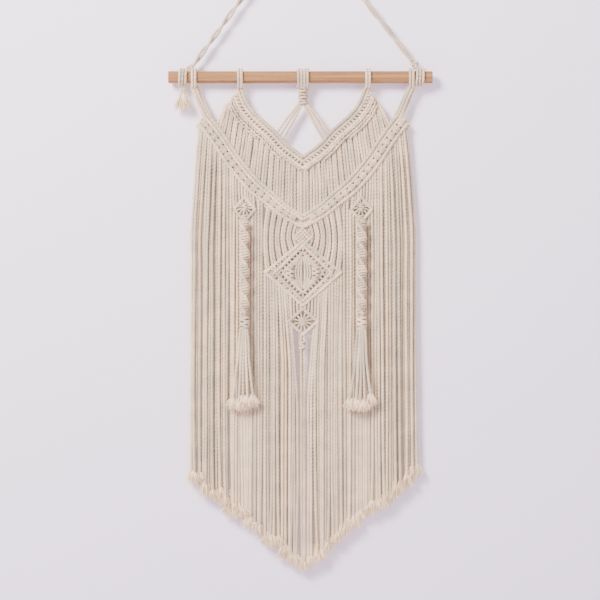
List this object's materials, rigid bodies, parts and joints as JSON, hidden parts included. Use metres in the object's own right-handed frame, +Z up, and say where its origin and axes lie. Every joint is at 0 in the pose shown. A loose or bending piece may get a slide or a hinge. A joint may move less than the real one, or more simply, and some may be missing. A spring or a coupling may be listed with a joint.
{
  "type": "macrame wall hanging",
  "caption": "Cotton macrame hanging on a wooden dowel: two V-shaped knot bands, diamonds, spiral braids with tassels and a pointed fringe, carried by a cord over a nail.",
  "frame": {"origin": "top of the nail, where the hanging cord rests on it", "axes": "+X to the viewer's right along the dowel, +Y from the viewer into the wall, +Z up; the front faces -Y"},
  "size_m": [0.35, 0.0285, 0.861],
  "materials": {
    "knotted_cord": "cream cotton cord, tied in knots",
    "loose_cord": "cream three-ply cotton cord, hanging loose, frayed at its cut end",
    "hanging_cord": "cream three-ply cotton cord, taut",
    "beech": "smooth, unvarnished, fine straight grain"
  },
  "bodies": {
    "hanger": {"hanger_cord_front": "hanging_cord", "hanger_cord_back": "hanging_cord", "hanger_wrap_left": "hanging_cord", "hanger_wrap_right": "hanging_cord", "hanger_knot": "hanging_cord"},
    "dowel": {"dowel": "beech"},
    "tail": {"hanger_tail": "loose_cord"},
    "panel": {"loop_outer_left": "knotted_cord", "loop_outer_right": "knotted_cord", "loop_inner_left": "knotted_cord", "loop_inner_right": "knotted_cord", "loop_middle": "knotted_cord", "strap_left": "knotted_cord", "strap_right": "knotted_cord", "middle_braid": "knotted_cord", "middle_leg_left": "knotted_cord", "middle_leg_right": "knotted_cord", "upper_pair_left": "knotted_cord", "upper_pair_right": "knotted_cord", "upper_lattice_left": "knotted_cord", "upper_lattice_right": "knotted_cord", "panel_left": "knotted_cord", "panel_right": "knotted_cord", "lower_pair_left": "knotted_cord", "lower_pair_right": "knotted_cord", "lower_knots_left": "knotted_cord", "lower_knots_right": "knotted_cord", "lower_ridge_left": "knotted_cord", "lower_ridge_right": "knotted_cord", "side_diamond_left": "knotted_cord", "side_diamond_right": "knotted_cord", "diamond_leads_left": "knotted_cord", "diamond_leads_right": "knotted_cord", "cross_knot": "knotted_cord", "bowed_cords_left": "knotted_cord", "bowed_cords_right": "knotted_cord", "big_diamond_left": "knotted_cord", "big_diamond_right": "knotted_cord", "leaf_left": "knotted_cord", "leaf_right": "knotted_cord", "neck_cords_left": "knotted_cord", "neck_cords_right": "knotted_cord", "last_diamond": "knotted_cord", "fringe_roots_left": "loose_cord", "fringe_roots_right": "loose_cord", "fringe_side_left": "loose_cord", "fringe_side_right": "loose_cord", "middle_roots_left": "loose_cord", "middle_roots_right": "loose_cord"},
    "left_braid": {"spiral_braid_left": "knotted_cord", "tassel_tie_left": "knotted_cord"},
    "right_braid": {"spiral_braid_right": "knotted_cord", "tassel_tie_right": "knotted_cord"},
    "left_tassel": {"tassel_left": "loose_cord"},
    "right_tassel": {"tassel_right": "loose_cord"},
    "fringe_left": {"fringe_outer_left": "loose_cord"},
    "fringe_right": {"fringe_outer_right": "loose_cord"},
    "fringe_middle": {"fringe_middle_left": "loose_cord", "fringe_middle_right": "loose_cord", "fringe_centre_cords": "loose_cord"}
  },
  "joints": [
    {"name": "dowel_roll", "type": "hinge", "parent": "hanger", "child": "dowel", "pos_m": [0, 0, -0.204], "axis": [1, 0, 0], "continuous": true},
    {"name": "panel_swing", "type": "hinge", "parent": "hanger", "child": "panel", "pos_m": [0, 0, -0.204], "axis": [-1, 0, 0], "range_deg": [0, 40]},
    {"name": "tail_swing", "type": "hinge", "parent": "hanger", "child": "tail", "pos_m": [-0.1558, 0, -0.204], "axis": [-1, 0, 0], "range_deg": [0, 60]},
    {"name": "left_braid_swing", "type": "hinge", "parent": "panel", "child": "left_braid", "pos_m": [-0.0737, -0.0044, -0.3918], "axis": [-1, 0, 0], "range_deg": [0, 45]},
    {"name": "left_tassel_swing", "type": "hinge", "parent": "left_braid", "child": "left_tassel", "pos_m": [-0.0737, -0.0104, -0.5388], "axis": [0, 1, 0], "range_deg": [-12, 12]},
    {"name": "fringe_left_lift", "type": "hinge", "parent": "panel", "child": "fringe_left", "pos_m": [-0.121, 0, -0.332], "axis": [-1, 0, 0], "range_deg": [0, 25]},
    {"name": "right_braid_swing", "type": "hinge", "parent": "panel", "child": "right_braid", "pos_m": [0.0807, -0.0044, -0.3918], "axis": [-1, 0, 0], "range_deg": [0, 45]},
    {"name": "right_tassel_swing", "type": "hinge", "parent": "right_braid", "child": "right_tassel", "pos_m": [0.0807, -0.0104, -0.5388], "axis": [0, 1, 0], "range_deg": [-12, 12]},
    {"name": "fringe_right_lift", "type": "hinge", "parent": "panel", "child": "fringe_right", "pos_m": [0.128, 0, -0.332], "axis": [-1, 0, 0], "range_deg": [0, 25]},
    {"name": "fringe_middle_lift", "type": "hinge", "parent": "panel", "child": "fringe_middle", "pos_m": [0.0035, 0, -0.546], "axis": [-1, 0, 0], "range_deg": [0, 25]}
  ]
}
